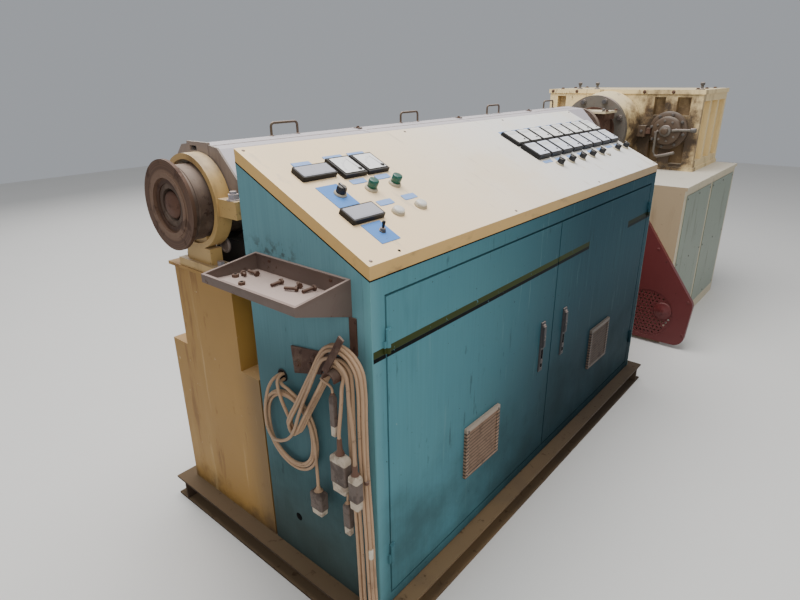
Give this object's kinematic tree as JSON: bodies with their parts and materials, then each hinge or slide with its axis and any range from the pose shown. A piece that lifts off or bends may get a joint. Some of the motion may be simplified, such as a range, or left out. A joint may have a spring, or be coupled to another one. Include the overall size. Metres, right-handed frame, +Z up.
{
  "type": "plastic extruder",
  "caption": "Single-screw plastic extruder: barrel under a folded cover, sloped control desk with two hinged doors, outlet flange in a split clamp, drive housing with belt guard.",
  "frame": {"origin": "floor level, middle of the bounding box in X and Y", "axes": "+X along the screw from the outlet flange to the drive end, +Y from the cabinet's doors to the back, +Z up"},
  "size_m": [3.72, 1.274, 1.37],
  "materials": {
    "turquoise_paint": "satin",
    "cream_paint": "satin",
    "ochre_paint": "worn matt",
    "beige_paint": "matt",
    "rusty_steel": "rusted",
    "bare_steel": "dusty",
    "lilac_paint": "satin",
    "black_plastic": "matt",
    "grey_plastic": "matt",
    "blue_plate": "matt",
    "green_plastic": "gloss",
    "white_plastic": "matt",
    "beige_cable": "matt",
    "red_paint": "matt"
  },
  "bodies": {
    "frame": {"base_frame": "ochre_paint", "machine_bed": "ochre_paint", "end_panel_left": "turquoise_paint", "end_panel_right": "turquoise_paint", "rear_panel": "turquoise_paint", "cabinet_floor": "turquoise_paint", "front_surround": "turquoise_paint", "door_hinges": "bare_steel", "desk_lid": "cream_paint", "pointer_meters": "black_plastic", "grey_instruments": "grey_plastic", "blue_plates": "blue_plate", "desk_knobs": "black_plastic", "green_buttons": "green_plastic", "white_buttons": "white_plastic", "controller_row_upper": "white_plastic", "controller_row_lower": "white_plastic", "tool_tray": "bare_steel", "tray_strap": "rusty_steel", "cable_bracket": "rusty_steel", "cable_hank": "beige_cable", "cable_coil": "beige_cable", "cable_lead_1": "beige_cable", "cable_lead_2": "beige_cable", "cable_lead_3": "beige_cable", "cable_lead_4": "beige_cable", "cable_lead_5": "beige_cable", "cable_plugs": "grey_plastic", "barrel_stand": "ochre_paint", "barrel": "rusty_steel", "barrel_flange": "rusty_steel", "screw": "bare_steel", "clamp_cap": "cream_paint", "clamp_base": "cream_paint", "clamp_bolts": "rusty_steel", "cooling_fan": "black_plastic", "cover_end_frame": "bare_steel", "cover_section_1": "lilac_paint", "cover_section_2": "lilac_paint", "cover_section_3": "lilac_paint", "cover_section_4": "lilac_paint", "cover_handles": "bare_steel", "cover_trough": "lilac_paint", "feed_throat": "rusty_steel", "hopper_plate": "cream_paint", "drive_flange": "bare_steel", "drive_bell": "cream_paint", "drive_housing": "cream_paint", "drive_stand": "beige_paint", "belt_guard": "red_paint", "guard_screen": "red_paint"},
    "left_door": {"door_left": "turquoise_paint", "door_left_vent": "cream_paint", "door_left_latch": "grey_plastic"},
    "right_door": {"door_right": "turquoise_paint", "door_right_vent": "cream_paint", "door_right_latch": "grey_plastic"}
  },
  "joints": [
    {"name": "left_door_hinge", "type": "hinge", "parent": "frame", "child": "left_door", "pos_m": [-1.651, -0.499, 0.56], "axis": [0, 0, -1], "range_deg": [0, 110]},
    {"name": "right_door_hinge", "type": "hinge", "parent": "frame", "child": "right_door", "pos_m": [0.125, -0.499, 0.56], "axis": [0, 0, 1], "range_deg": [0, 110]}
  ]
}
